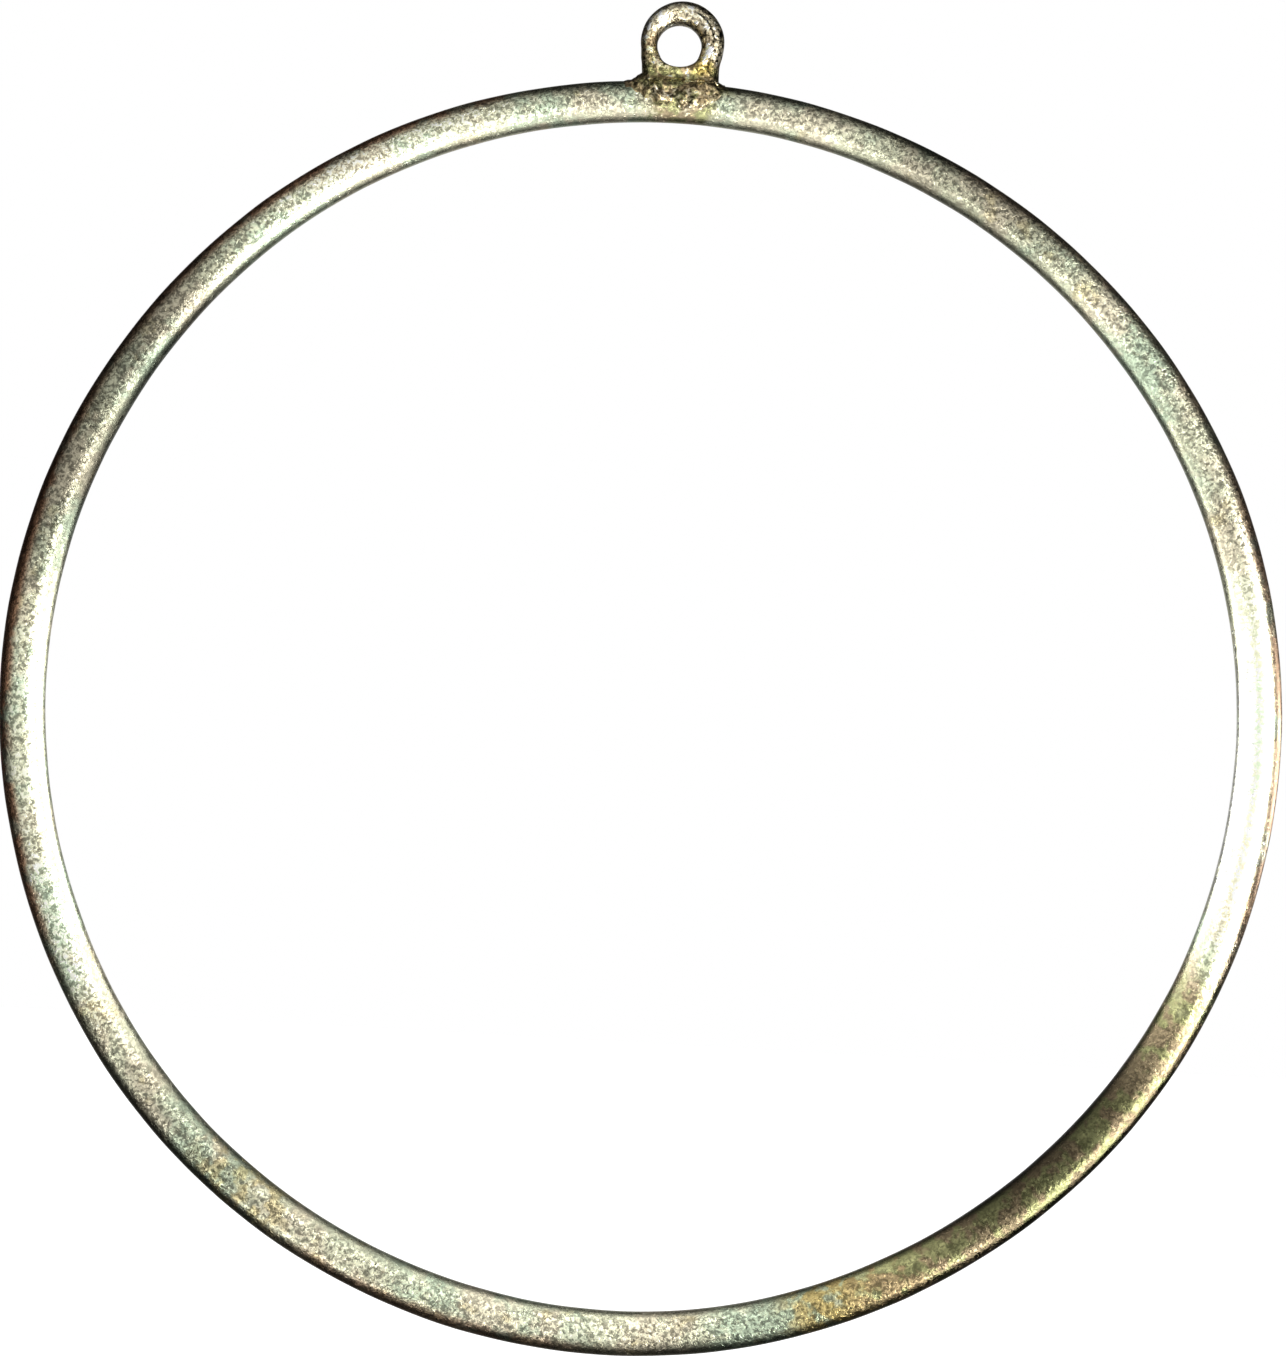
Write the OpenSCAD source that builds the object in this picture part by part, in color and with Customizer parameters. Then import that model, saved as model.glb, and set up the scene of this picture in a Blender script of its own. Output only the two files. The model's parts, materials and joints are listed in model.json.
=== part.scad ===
// Hanging hoop: a solid round bar bent into a circle and closed by a brazed butt joint, with a
// flat round-headed eye brazed over that joint.
// The hoop stands in the XZ plane with +Z up and its front towards -Y. The origin is the centre
// of the hanging hole, whose axis is the Y axis. All sizes are in millimetres.

/* [Hoop] */
// Diameter over the outside of the hoop
hoop_od = 200; // [120:5:400]
// Diameter of the round bar
bar_d = 7; // [6:0.5:10]
// Width of the braze between the bar's two ends
end_gap = 0.4; // [0.2:0.1:0.8]

/* [Hanging eye] */
// Thickness of the eye, front to back
eye_t = 4.2; // [3.6:0.2:5]
// Diameter of the eye's round head
head_d = 13.4; // [11.6:0.2:18]
// Width of the straight neck below the head
neck_w = 12.2; // [9:0.2:16]
// Radius of the rounded edges around the head and down the neck
edge_r = 1.4; // [0.6:0.1:1.7]
// Diameter of the hanging hole
hole_d = 7; // [4:0.5:8]
// Radius of the rounded edges of the hole
hole_edge_r = 1.2; // [0.4:0.1:1.4]
// Height of the hole's centre over the hoop's outer edge
hole_rise = 5.6; // [5:0.2:8]
// Distance from the hole's centre sideways to the middle of the head
head_side = 0.5; // [-0.6:0.1:0.6]
// Distance from the hole's centre up to the middle of the head
head_up = 0.6; // [0:0.1:1]
// Lean of the eye away from the hoop's upright radius, in degrees
eye_lean = 3.2; // [0:0.2:6]

/* [Braze] */
// Thickness of the film of braze between the bar and the eye's foot
film_t = 0.2; // [0.1:0.05:0.4]
// Radius of the bead along the front and the back of the foot
bead_r = 1.2; // [0.8:0.1:1.5]
// Length of the front and back beads that the neck leaves bare at each end
bead_short = 0.6; // [0:0.1:2]
// Run of the left fillet along the hoop's outer edge
left_run = 3.6; // [1.5:0.1:5]
// Rise of the left fillet up the side of the neck
left_rise = 1.8; // [0.6:0.1:2.2]
// Run of the right fillet along the hoop's outer edge
right_run = 1.1; // [0.6:0.1:3]
// Rise of the right fillet up the side of the neck
right_rise = 0.7; // [0.4:0.1:1.6]
// Thickness of both side fillets, front to back
fillet_t = 3.2; // [2:0.2:4]

/* [Hidden] */
$fn = 96;
HOOP_FN = 360;
BRASS = [0.76, 0.72, 0.55];
EYE_BRASS = [0.72, 0.68, 0.50];
FILLER = [0.66, 0.60, 0.38];

bar_r = bar_d / 2;
mean_r = hoop_od / 2 - bar_r;
hole_r = hole_d / 2;
head_r = head_d / 2;
// The hoop's centre lies straight below the hole.
drop = hoop_od / 2 + hole_rise;
// Half the angle that the butt joint takes at the bar's centre line
half_gap = asin(end_gap / 2 / mean_r);
// Length of the neck, from the middle of the head down to the bar's centre line
neck_l = hole_rise + head_up + bar_r;
// Height of the hoop's outer edge in the eye's own upright frame
rim_z = -hole_rise;
// How far the cutters run past a face
past = 1;
// The hole's rounding passes through the eye's faces at a slight angle instead of just touching them.
lip = 0.04;
// Middle of the foot along the hoop's outer edge, and its angle about the hoop's centre
foot_x = head_side * cos(eye_lean) + hole_rise * sin(eye_lean);
foot_angle = asin(foot_x / (hoop_od / 2));
// Half the angle that each long bead takes
bead_half = asin((neck_w / 2 - bead_short) / (hoop_od / 2));

// Puts the hoop's own frame, a ring about Z, in place around the Y axis with its angle 0 at the top.
module at_hoop() {
    translate([0, 0, -drop]) rotate([-90, 0, 0]) rotate([0, 0, -90]) children();
}

// A solid ring of the given bar radius on the hoop's centre line
module ring(r) {
    at_hoop() rotate_extrude($fn = HOOP_FN) translate([mean_r, 0]) circle(r);
}

// Part of a section swept about the hoop's centre, to both sides of an angle
module arc_sweep(middle, half) {
    at_hoop() rotate([0, 0, middle - half]) rotate_extrude(angle = 2 * half, $fn = HOOP_FN) children();
}

// Turns the eye's upright frame about the hole to its lean.
module at_eye() {
    rotate([0, -eye_lean, 0]) children();
}

// Rectangle centred on the origin with round corners
module round_box(w, h, r) {
    square([w - 2 * r, h], center = true);
    square([w, h - 2 * r], center = true);
    for (x = [-1, 1], y = [-1, 1])
        translate([x * (w / 2 - r), y * (h / 2 - r)]) circle(r);
}

// The head: a disc with a rounded rim
module head() {
    rotate([90, 0, 0]) rotate_extrude()
        intersection() {
            round_box(head_d, eye_t, edge_r);
            translate([0, -eye_t]) square([head_d, 2 * eye_t]);
        }
}

// The neck: a straight column with rounded edges, from the head's middle down into the bar
module neck() {
    translate([0, 0, -neck_l]) linear_extrude(neck_l) round_box(neck_w, eye_t, edge_r);
}

// The hole with its rounded front and back edges, as one turned cutter
module hole() {
    reach = eye_t / 2 + past;
    rotate([90, 0, 0]) rotate_extrude() difference() {
        translate([0, -reach]) square([hole_r + hole_edge_r, 2 * reach]);
        translate([hole_r, -eye_t / 2 + hole_edge_r - lip])
            square([hole_edge_r + past, eye_t - 2 * (hole_edge_r - lip)]);
        for (y = [-1, 1])
            translate([hole_r + hole_edge_r, y * (eye_t / 2 - hole_edge_r + lip)]) circle(hole_edge_r);
    }
}

// The eye's body before the foot is cut to the bar
module eye_body() {
    at_eye() translate([head_side, 0, head_up]) {
        head();
        neck();
    }
}

// A fillet with a hollow curve that runs out along the hoop, on the neck's side at x = 0
module side_fillet(run, rise) {
    hollow_r = (run * run + rise * rise) / (2 * rise);
    rotate([90, 0, 0]) linear_extrude(fillet_t, center = true) difference() {
        translate([-edge_r, -bar_r]) square([run + edge_r, rise + bar_r]);
        translate([run, hollow_r]) circle(hollow_r, $fn = HOOP_FN);
    }
}

// Section of a long bead, in the corner between the bar's crown and the neck's face on one side
module bead_section(side) {
    corner = sqrt(bar_r * bar_r - eye_t * eye_t / 4);
    face = eye_t / 2;
    difference() {
        translate([mean_r + corner + bead_r / 8, side * (face + bead_r / 8)]) circle(bead_r);
        translate([mean_r, 0]) circle(bar_r, $fn = HOOP_FN);
        translate([mean_r, -face]) square([bar_r + hole_rise, eye_t]);
    }
}

module hoop_bar() {
    color(BRASS) arc_sweep(180, 180 - half_gap) translate([mean_r, 0]) circle(bar_r);
}

module hoop_end_braze() {
    color(FILLER) arc_sweep(0, half_gap) translate([mean_r, 0]) circle(bar_r);
}

module hanging_eye() {
    color(EYE_BRASS) difference() {
        eye_body();
        hole();
        ring(bar_r + film_t);
    }
}

module saddle_braze() {
    color(FILLER) difference() {
        intersection() {
            eye_body();
            ring(bar_r + film_t);
        }
        ring(bar_r);
    }
}

module left_braze_fillet() {
    color(FILLER) difference() {
        at_eye() translate([head_side - neck_w / 2, 0, rim_z]) mirror([1, 0, 0])
            side_fillet(left_run, left_rise);
        eye_body();
        ring(bar_r);
    }
}

module right_braze_fillet() {
    color(FILLER) difference() {
        at_eye() translate([head_side + neck_w / 2, 0, rim_z]) side_fillet(right_run, right_rise);
        eye_body();
        ring(bar_r);
    }
}

module front_braze_bead() {
    color(FILLER) arc_sweep(foot_angle, bead_half) bead_section(-1);
}

module back_braze_bead() {
    color(FILLER) arc_sweep(foot_angle, bead_half) bead_section(1);
}

hoop_bar();
hoop_end_braze();
hanging_eye();
saddle_braze();
left_braze_fillet();
right_braze_fillet();
front_braze_bead();
back_braze_bead();
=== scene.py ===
import json
import math

import bmesh
import bpy
from bpy.props import FloatProperty, FloatVectorProperty, IntProperty, PointerProperty
from mathutils import Matrix, Vector, noise


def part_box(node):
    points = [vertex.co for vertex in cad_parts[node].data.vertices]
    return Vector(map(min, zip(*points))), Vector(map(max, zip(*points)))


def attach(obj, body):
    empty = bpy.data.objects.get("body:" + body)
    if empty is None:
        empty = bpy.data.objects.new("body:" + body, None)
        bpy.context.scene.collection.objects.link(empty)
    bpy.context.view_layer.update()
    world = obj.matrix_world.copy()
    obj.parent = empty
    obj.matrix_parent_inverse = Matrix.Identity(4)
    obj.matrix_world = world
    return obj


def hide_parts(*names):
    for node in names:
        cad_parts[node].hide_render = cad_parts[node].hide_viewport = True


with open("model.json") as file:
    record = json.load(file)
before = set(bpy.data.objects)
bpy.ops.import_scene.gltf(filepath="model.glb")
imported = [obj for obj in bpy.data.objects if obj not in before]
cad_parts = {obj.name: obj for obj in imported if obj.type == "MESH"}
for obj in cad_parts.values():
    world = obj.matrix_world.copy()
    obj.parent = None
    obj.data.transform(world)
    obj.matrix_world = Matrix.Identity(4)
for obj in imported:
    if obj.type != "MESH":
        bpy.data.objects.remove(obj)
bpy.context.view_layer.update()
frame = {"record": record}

bl_info = {
    "name": "Brazed Hanging Hoop",
    "version": (1, 0, 0),
    "blender": (4, 5, 0),
    "location": "View3D > Sidebar > Hoop",
    "description": "A hand-made brass hoop with a hanging eye brazed on top, and its studio",
    "category": "Add Mesh",
}

MM = 0.001
BODY = "root"
FRONT, BACK = -1, 1
LEFT, RIGHT = -1, 1
UP, Y = Vector((0, 0, 1)), Vector((0, 1, 0))
# The bar is one length, repeated this many times
BAR_LENGTHS = 12
# Thickness of the filler's sheets
SKIN_T = 0.25 * MM
# Points nearer than this are one
MERGE = 0.01 * MM

# The driving sizes, all read from the frame
BAR_LOW, BAR_HIGH = (Vector(corner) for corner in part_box("hoop_bar"))
EYE_LOW, EYE_HIGH = (Vector(corner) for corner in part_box("hanging_eye"))
FILM_HIGH = Vector(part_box("saddle_braze")[1])
GAP_LOW, GAP_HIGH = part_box("hoop_end_braze")
CENTRE = (BAR_LOW + BAR_HIGH) / 2
BAR_R = (BAR_HIGH.y - BAR_LOW.y) / 2
RIM_R = (BAR_HIGH.z - BAR_LOW.z) / 2
MEAN_R = RIM_R - BAR_R
EYE_HOLE = next(mount for mount in frame["record"]["mounts"] if mount["name"] == "eye_hole")
HOLE_R = EYE_HOLE["dims"]["r_mm"] * MM
EYE_T = EYE_HIGH.y - EYE_LOW.y
HEAD_R = (EYE_HIGH.x - EYE_LOW.x) / 2
HEAD = Vector(((EYE_LOW.x + EYE_HIGH.x) / 2, 0, EYE_HIGH.z - HEAD_R))
FILM_T = FILM_HIGH.z - CENTRE.z - RIM_R
FOOT_DEPTH = -FILM_HIGH.z
# Half the turn of the gap between the bar's two ends
HALF_GAP = (GAP_HIGH[0] - GAP_LOW[0]) / 2 / MEAN_R
# Where the torch scorched the foot, and where it stained the eye beside its hole
FOOT = Vector((HEAD.x + 0.3 * MM, 0, FILM_HIGH.z - 1.5 * MM))
HEAT_SPOT = Vector((HEAD.x + 3.4 * MM, -EYE_T / 2, HEAD.z - 4.6 * MM))

# Ripples of the bar round the hoop, as (share, crests, degrees clockwise from the top of one crest). One
# without crests is a steady share.
THIN_RIPPLES = ((0.20, 0, 0), (0.20, 1, 0), (0.26, 2, 0), (0.10, 5, 100))
SWAY_RIPPLES = ((0.55, 3, 185), (0.35, 7, 20), (0.25, 1, 180))
TWIST_RIPPLES = ((0.6, 2, 40), (0.4, 5, 10))
# How much the thin ripples' sum changes round the hoop, about
THIN_RANGE = 0.66
# Unevenness, as (share, size, seed)
HAMMER_MARKS = ((0.6, 17 * MM, 3), (0.4, 6 * MM, 8))
FILE_MARKS = ((0.65, 5 * MM, 5), (0.35, 1.9 * MM, 9))
# Where a seed moves the noise back and up, for each step to the right
SEED_BACK, SEED_UP = 0.37, -0.71

# The eye's neck: how far down a direction points where the neck starts and where its waist is full, and how
# softly the head's circle runs into its sides
NECK_DROP, WAIST_DROP, WAIST_SOFTNESS = 0.05, 0.3, 0.6 * MM
# How far down a direction points where the web under the hole starts, and where it is full
WEB_DROP = (0.35, 0.85)
# The foot's share is 0 where the outline ends this far short of the bar's film, and 1 this far past it
FOOT_BAND = (-0.9 * MM, 0.2 * MM)
# Share of the eye's outer rounding that its foot loses, the least flat left between two roundings, and the
# flat that the section starts with
FOOT_SHARP, LEAST_FLAT, SECTION_FLAT = 0.94, 0.05 * MM, 1.5 * MM

# Faces along the eye and round each of its corners, and cuts in each of its flats. Only the flats are longer
# than the last size before they are cut.
EYE_STEPS, CORNER_FACES, FLAT_CUTS, LONGEST_CORNER_FACE = 168, 7, 4, 0.6 * MM

# Lumps of filler, as (mm across the foot, s of flow_path, mm wide, share of the lump height)
FRONT_LUMPS = ((-7.9, 0.05, 0.7, 0.8), (-6.8, 0.22, 0.8, 1.0), (-5.6, 0.10, 0.6, 0.8),
               (-5.4, 0.42, 0.8, 0.9), (-4.1, 0.28, 0.6, 0.9), (-3.4, 0.60, 0.9, 1.0),
               (-1.5, 0.66, 0.8, 0.7), (0.3, 0.72, 0.9, 0.9), (2.2, 0.66, 0.7, 0.6), (4.0, 0.16, 0.6, 1.0))
BACK_LUMPS = ((-5.2, 0.30, 0.9, 0.8), (-3.4, 0.44, 0.9, 0.9), (-1.5, 0.52, 1.0, 0.7),
              (0.6, 0.56, 0.9, 1.0), (2.7, 0.50, 0.9, 0.8), (4.6, 0.36, 0.9, 0.9))
# The left end, the right end and the deepest place of the filler's lower edge
FRONT_SPREAD = (-9.6 * MM, 7.4 * MM, 1.0 * MM)
BACK_SPREAD = (-7.6 * MM, 7.6 * MM, -0.6 * MM)
# How far round the bar the filler could flow down, that length along it, and how deep the sheet's edges are
# sunk
FLOW_TURN, FLOW_REACH, FLOW_SUNK = math.radians(92), 4.6 * MM, 0.07 * MM
# How far a fillet wraps to each side, its thickness past its hollow curve, and how deep its edges are sunk
FILLET_WRAP, FILLET_T, FILLET_SUNK = math.radians(82), 0.16 * MM, 0.06 * MM

# The camera's place from the hoop's centre, and its turns in degrees to the left, up and round its own axis,
# in a picture that is itself turned: the hole stands this far clockwise of the hoop's top in it
CAMERA_DISTANCE = 431.8 * MM
CAMERA_PLACE = Vector((-4.62, -431.78, -41.0)) * MM
CAMERA_LEFT, CAMERA_UP, CAMERA_ROLL = -0.627, 5.907, 0.058
PICTURE_TURN = math.radians(3.17)
SENSOR_WIDTH, LENS, CLIP_END = 36, 73.67, 20
# Half the floor's width, in metres
FLOOR_HALF = 4


def length_property(name, about, default):
    """A size in metres, shown in the scene's own length unit."""
    return FloatProperty(name=name, description=about, default=default, min=0,
                         subtype="DISTANCE", unit="LENGTH")


def share_property(name, about, default, top=1.0):
    return FloatProperty(name=name, description=about, default=default, min=0, max=top, subtype="FACTOR")


def colour_property(name, about, default):
    return FloatVectorProperty(name=name, description=about, default=default, size=3, min=0, max=1,
                               subtype="COLOR")


def power_property(name, about, default):
    return FloatProperty(name=name, description=about, default=default, min=0, subtype="POWER", unit="POWER")


class HoopSizes(bpy.types.PropertyGroup):
    """What a hand-bent bar has that a drawn circle hasn't"""
    thinning: length_property(
        "Thinning", "About how much thinner the bar is drawn beside the eye than at its thickest", 0.56 * MM)
    sway: length_property("Sway", "How far the bar's centre line strays from a true circle", 0.16 * MM)
    twist: length_property("Twist", "How far the hoop strays out of its flat plane", 0.18 * MM)
    dents: length_property("Dents", "Depth of the shallow hammer marks along the bar", 0.10 * MM)
    steps: IntProperty(
        name="Steps", description="Rings of faces along a twelfth of the bar", default=98, min=6)
    sides: IntProperty(name="Sides", description="Faces round the bar", default=44, min=12)


class EyeSizes(bpy.types.PropertyGroup):
    """The hanging eye's shape, past what the frame gives"""
    lean: FloatProperty(name="Lean", description="Lean of the eye away from the upright radius",
                        default=math.radians(3.2), subtype="ANGLE", unit="ROTATION")
    neck: length_property("Neck", "Width of the straight neck", 12.2 * MM)
    neck_shift: length_property("Neck shift", "How far the neck stands left of the head's middle", 0.35 * MM)
    outer_round: length_property("Outer round", "Radius of the rounded outer edge", 2.08 * MM)
    hole_round: length_property("Hole round", "Radius of the rounded edges of the hole", 1.95 * MM)
    hole_drop: length_property("Hole drop", "How much the hole is filed out at its bottom", 0.25 * MM)
    web_round: share_property("Web round", "Share of that rounding left on the flat web under the hole", 0.4)
    dents: length_property("Dents", "Depth of the unevenness left by the file", 0.07 * MM)


class BrazeSizes(bpy.types.PropertyGroup):
    """How the filler flowed round the foot"""
    flow: length_property("Flow", "Thickness of the filler that flowed down over the bar", 0.26 * MM)
    lumps: length_property("Lumps", "Height of the lumps along the filler's edge", 0.62 * MM)
    climb: length_property("Climb", "How far the filler climbs the face of the neck", 2.1 * MM)
    left_run: length_property("Left run", "Run of the left fillet along the rim", 3.1 * MM)
    left_rise: length_property("Left rise", "Rise of the left fillet up the neck", 1.35 * MM)
    right_run: length_property("Right run", "Run of the right fillet along the rim", 1.2 * MM)
    right_rise: length_property("Right rise", "Rise of the right fillet up the neck", 0.8 * MM)


class BrassLooks(bpy.types.PropertyGroup):
    """Colours and grain of the metal"""
    pale: colour_property("Pale brass", "The clean metal", (0.79, 0.795, 0.575))
    green: colour_property("Green bloom", "Greenish grey patches of old polish", (0.60, 0.71, 0.52))
    warm: colour_property("Warm patches", "Pinkish beige patches", (0.80, 0.715, 0.53))
    worn: colour_property("Worn brass", "The eye, handled more than the bar", (0.62, 0.54, 0.37))
    amber: colour_property("Amber stains", "Golden heat stains", (0.70, 0.56, 0.20))
    gold: colour_property(
        "Gold stain", "The strongest heat stain, beside the eye's hole", (0.52, 0.38, 0.10))
    olive: colour_property(
        "Olive tarnish", "Dull olive tarnish, and where the torch played", (0.41, 0.41, 0.17))
    umber: colour_property("Umber tarnish", "Brownish patches in the olive tarnish", (0.43, 0.32, 0.18))
    # Brown tarnish along the outside, partly painted shade of the bar's outer edge
    brown_and_edge_shade: colour_property("Brown tarnish", "Tarnish left along the outside", (0.64, 0.35, 0.21))
    pit: colour_property("Pits", "Dark metal in the worm-like marks", (0.26, 0.22, 0.12))
    filler: colour_property("Filler", "The brazing metal", (0.74, 0.67, 0.42))
    polish: share_property("Polish", "Overall brightness of the metal", 0.82, 2.0)
    grain: length_property("Grain size", "Width of one grain of the skin", 1.05 * MM)
    grain_depth: length_property("Grain depth", "Depth of the grain", 0.04 * MM)


class StageLooks(bpy.types.PropertyGroup):
    """Camera distance, lights and floor"""
    camera_distance: length_property(
        "Camera distance", "From the camera to the hoop's plane", CAMERA_DISTANCE)
    tent: share_property("Tent", "Brightness of the soft tent straight in front", 0.95, 2.0)
    tent_fall: FloatProperty(
        name="Tent fall", description="How quickly the tent darkens towards its edge", default=1.3,
        min=0.1, max=8)
    rear: share_property("Rear", "Brightness of the soft tent straight behind", 0.5, 2.0)
    rear_fall: FloatProperty(
        name="Rear fall", description="How quickly the rear tent darkens towards its edge", default=9.0,
        min=0.1, max=12)
    side_power: power_property("Side light", "Soft light low on the right", 5.0)
    right_power: power_property("Right light", "Tall light on the right", 2.2)
    edge_power: power_property("Edge light", "Weak light on the right, a little behind the hoop", 0.25)
    left_power: power_property("Left light", "Weak light low on the left", 0.6)
    middle_power: power_property("Middle lamps", "Each lamp in front of the hoop's middle", 0.030)
    inside_power: power_property("Inside lamps", "The stronger of the lamps inside the hoop's sides", 0.05)
    floor_drop: length_property("Floor drop", "From the hoop's lowest point down to the floor", 60 * MM)
    dim: share_property("Dim room", "Brightness of the dark gap that the metal reflects", 0.014)


# ---------------------------------------------------------------- shapes


def smooth_step(low, high, value):
    """0 at low, 1 at high and a soft step between, either way round."""
    t = min(max((value - low) / (high - low), 0), 1)
    return t * t * (3 - 2 * t)


def ripple(angle, rows):
    """The sum of ripples round the hoop, each as (share, crests, degrees of one crest)."""
    return sum(share * math.cos(crests * (angle - math.radians(turn))) for share, crests, turn in rows)


def forged_bar(angle):
    """(the bar's radius, offset of its centre line outwards, offset to the back) at an angle from the top."""
    s = bpy.context.scene.hoop_sizes
    radius = BAR_R - s.thinning / THIN_RANGE / 2 * ripple(angle, THIN_RIPPLES)
    return radius, s.sway * ripple(angle, SWAY_RIPPLES), s.twist * ripple(angle, TWIST_RIPPLES)


def hoop_place(co):
    """(angle clockwise from the top, distance outwards from the mean circle, distance back) of a point."""
    away = co - CENTRE
    return math.atan2(away.x, away.z), math.hypot(away.x, away.z) - MEAN_R, away.y


def from_hoop(angle, out, back):
    """The point at an angle from the top, this far outwards from the mean circle and this far back."""
    reach = MEAN_R + out
    return CENTRE + Vector((reach * math.sin(angle), back, reach * math.cos(angle)))


def uneven(co, size, seed):
    """Soft noise from -1 to 1 whose bumps are about size across."""
    return noise.noise(co / size + Vector((seed, seed * SEED_BACK, seed * SEED_UP)))


def marks(co, rows):
    """Unevenness of several sizes together, each as (share, size, seed)."""
    return sum(share * uneven(co, size, seed) for share, size, seed in rows)


def forge(co):
    """Moves a point of the true ring to the hand-made one."""
    angle, out, back = hoop_place(co)
    radius, sway, twist = forged_bar(angle)
    dent = bpy.context.scene.hoop_sizes.dents * marks(co, HAMMER_MARKS)
    grow = (radius + dent) / BAR_R
    return from_hoop(angle, out * grow + sway, back * grow + twist)


def new_piece(name, mesh, node, slot, finish=None):
    """A finished object from a bmesh, standing for its CAD node and riding on the body. Its finish is its
    slot's, unless another one's name is given."""
    data = bpy.data.meshes.new(name)
    for face in mesh.faces:
        face.smooth = True
    mesh.to_mesh(data)
    mesh.free()
    piece = bpy.data.objects.new(name, data)
    bpy.context.scene.collection.objects.link(piece)
    data.materials.append(brass_of(finish or slot))
    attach(piece, BODY)
    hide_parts(node)
    return piece


def new_skin(name, mesh, node, toward, thickness):
    """A piece of filler from a bmesh sheet, thickened away from the side that shows."""
    mesh.normal_update()
    facing = sum((face.normal * face.calc_area() for face in mesh.faces), Vector())
    if facing.dot(toward) < 0:
        bmesh.ops.reverse_faces(mesh, faces=mesh.faces[:])
    piece = new_piece(name, mesh, node, "braze_filler")
    wall = piece.modifiers.new("wall", "SOLIDIFY")
    wall.thickness = thickness
    wall.offset = -1


def bar_section(mesh, angle, sides):
    """The bar's round section, as a ring of edges, at an angle from the top."""
    at = Matrix.Translation(CENTRE) @ Matrix.Rotation(angle, 4, "Y") @ Matrix.Translation((0, 0, MEAN_R))
    bmesh.ops.create_circle(mesh, segments=sides, radius=BAR_R, cap_ends=False,
                            matrix=at @ Matrix.Rotation(math.pi / 2, 4, "Y"))


def swept_bar(start, turn, steps, sides, lengths=1):
    """A closed piece of the hand-made bar, from an angle through a turn, made as one length and repeated."""
    mesh = bmesh.new()
    bar_section(mesh, start, sides)
    bmesh.ops.spin(mesh, geom=mesh.verts[:] + mesh.edges[:], cent=CENTRE, axis=(0, 1, 0),
                   dvec=(0, 0, 0), angle=turn / lengths, steps=steps, use_merge=False, use_duplicate=False)
    first = mesh.verts[:] + mesh.edges[:] + mesh.faces[:]
    for number in range(1, lengths):
        made = bmesh.ops.duplicate(mesh, geom=first)
        bmesh.ops.rotate(mesh, cent=CENTRE, matrix=Matrix.Rotation(turn / lengths * number, 3, "Y"),
                         verts=[item for item in made["geom"] if isinstance(item, bmesh.types.BMVert)])
    bmesh.ops.remove_doubles(mesh, verts=mesh.verts[:], dist=MERGE)
    # Flat ends with a sharp rim
    ends = bmesh.ops.holes_fill(mesh, edges=[edge for edge in mesh.edges if edge.is_boundary], sides=0)
    for edge in {edge for face in ends["faces"] for edge in face.edges}:
        edge.smooth = False
    for vert in mesh.verts:
        vert.co = forge(vert.co)
    bmesh.ops.recalc_face_normals(mesh, faces=mesh.faces[:])
    return mesh


def eye_point(across, up):
    """A point in the eye's own upright frame, turned to its lean."""
    lean = bpy.context.scene.eye_sizes.lean
    return Vector((across * math.cos(lean) - up * math.sin(lean), 0,
                   across * math.sin(lean) + up * math.cos(lean)))


def head_in_eye():
    """The head's middle in the eye's own upright frame, as (across, up)."""
    lean = bpy.context.scene.eye_sizes.lean
    return (HEAD.x * math.cos(lean) + HEAD.z * math.sin(lean),
            HEAD.z * math.cos(lean) - HEAD.x * math.sin(lean))


def neck_middle():
    """Where the neck's middle stands across the eye, in the eye's own upright frame."""
    return head_in_eye()[0] - bpy.context.scene.eye_sizes.neck_shift


def saddle_height(turn, back):
    """Distance from the hole's centre down to the film on the bar, along a direction turned from the eye's
    own up."""
    lean = bpy.context.scene.eye_sizes.lean
    reach = FOOT_DEPTH / abs(math.cos(turn))
    # Each step closes nearly all of what is left between the point and the film
    for _ in range(3):
        place = eye_point(reach * math.sin(turn), reach * math.cos(turn))
        angle, out, _ = hoop_place(place)
        radius, sway, twist = forged_bar(angle)
        top = math.sqrt(max((radius + FILM_T) ** 2 - (back - twist) ** 2, 0)) + sway
        reach += (out - top) / -math.cos(turn - lean + angle)
    return reach


def eye_reach(turn, back):
    """(distance from the hole's centre to the eye's outline, share of the foot) along a direction turned
    from the eye's own up."""
    s = bpy.context.scene.eye_sizes
    side, top = head_in_eye()
    dx, dz = math.sin(turn), math.cos(turn)
    along = side * dx + top * dz
    head = along + math.sqrt(HEAD_R ** 2 - side ** 2 - top ** 2 + along ** 2)
    if dz >= -NECK_DROP:
        return head, 0.0
    # Straight down, the neck's sides are out of reach
    neck = (neck_middle() + math.copysign(s.neck / 2, dx)) / dx if abs(dx) > 0.01 else 1
    waist = WAIST_SOFTNESS * min(-dz / WAIST_DROP, 1)
    outline = (head + neck + math.sqrt((head - neck) ** 2 + waist ** 2)) / 2
    foot = saddle_height(turn, back)
    return min(outline, foot), smooth_step(*FOOT_BAND, outline - foot)


def section_loop(mesh, width, depth, inner_round, outer_round):
    """The eye's section from the hole outwards: a rectangle in the ZY plane with round corners, as a loop of
    edges."""
    half, near, far = depth / 2, HOLE_R, HOLE_R + width
    places = ((-half, near), (-half, far), (half, far), (half, near))
    corners = [mesh.verts.new((0, y, z)) for y, z in places]
    mesh.faces.new(corners)
    for pair, radius in ((corners[1:3], outer_round), ((corners[0], corners[3]), inner_round)):
        bmesh.ops.bevel(mesh, geom=list(pair), offset=radius, offset_type="OFFSET", segments=CORNER_FACES,
                        profile=0.5, material=-1, affect="VERTICES")
    flats = [edge for edge in mesh.edges if edge.calc_length() > LONGEST_CORNER_FACE]
    bmesh.ops.subdivide_edges(mesh, edges=flats, cuts=FLAT_CUTS)
    bmesh.ops.delete(mesh, geom=mesh.faces[:], context="FACES_ONLY")


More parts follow.
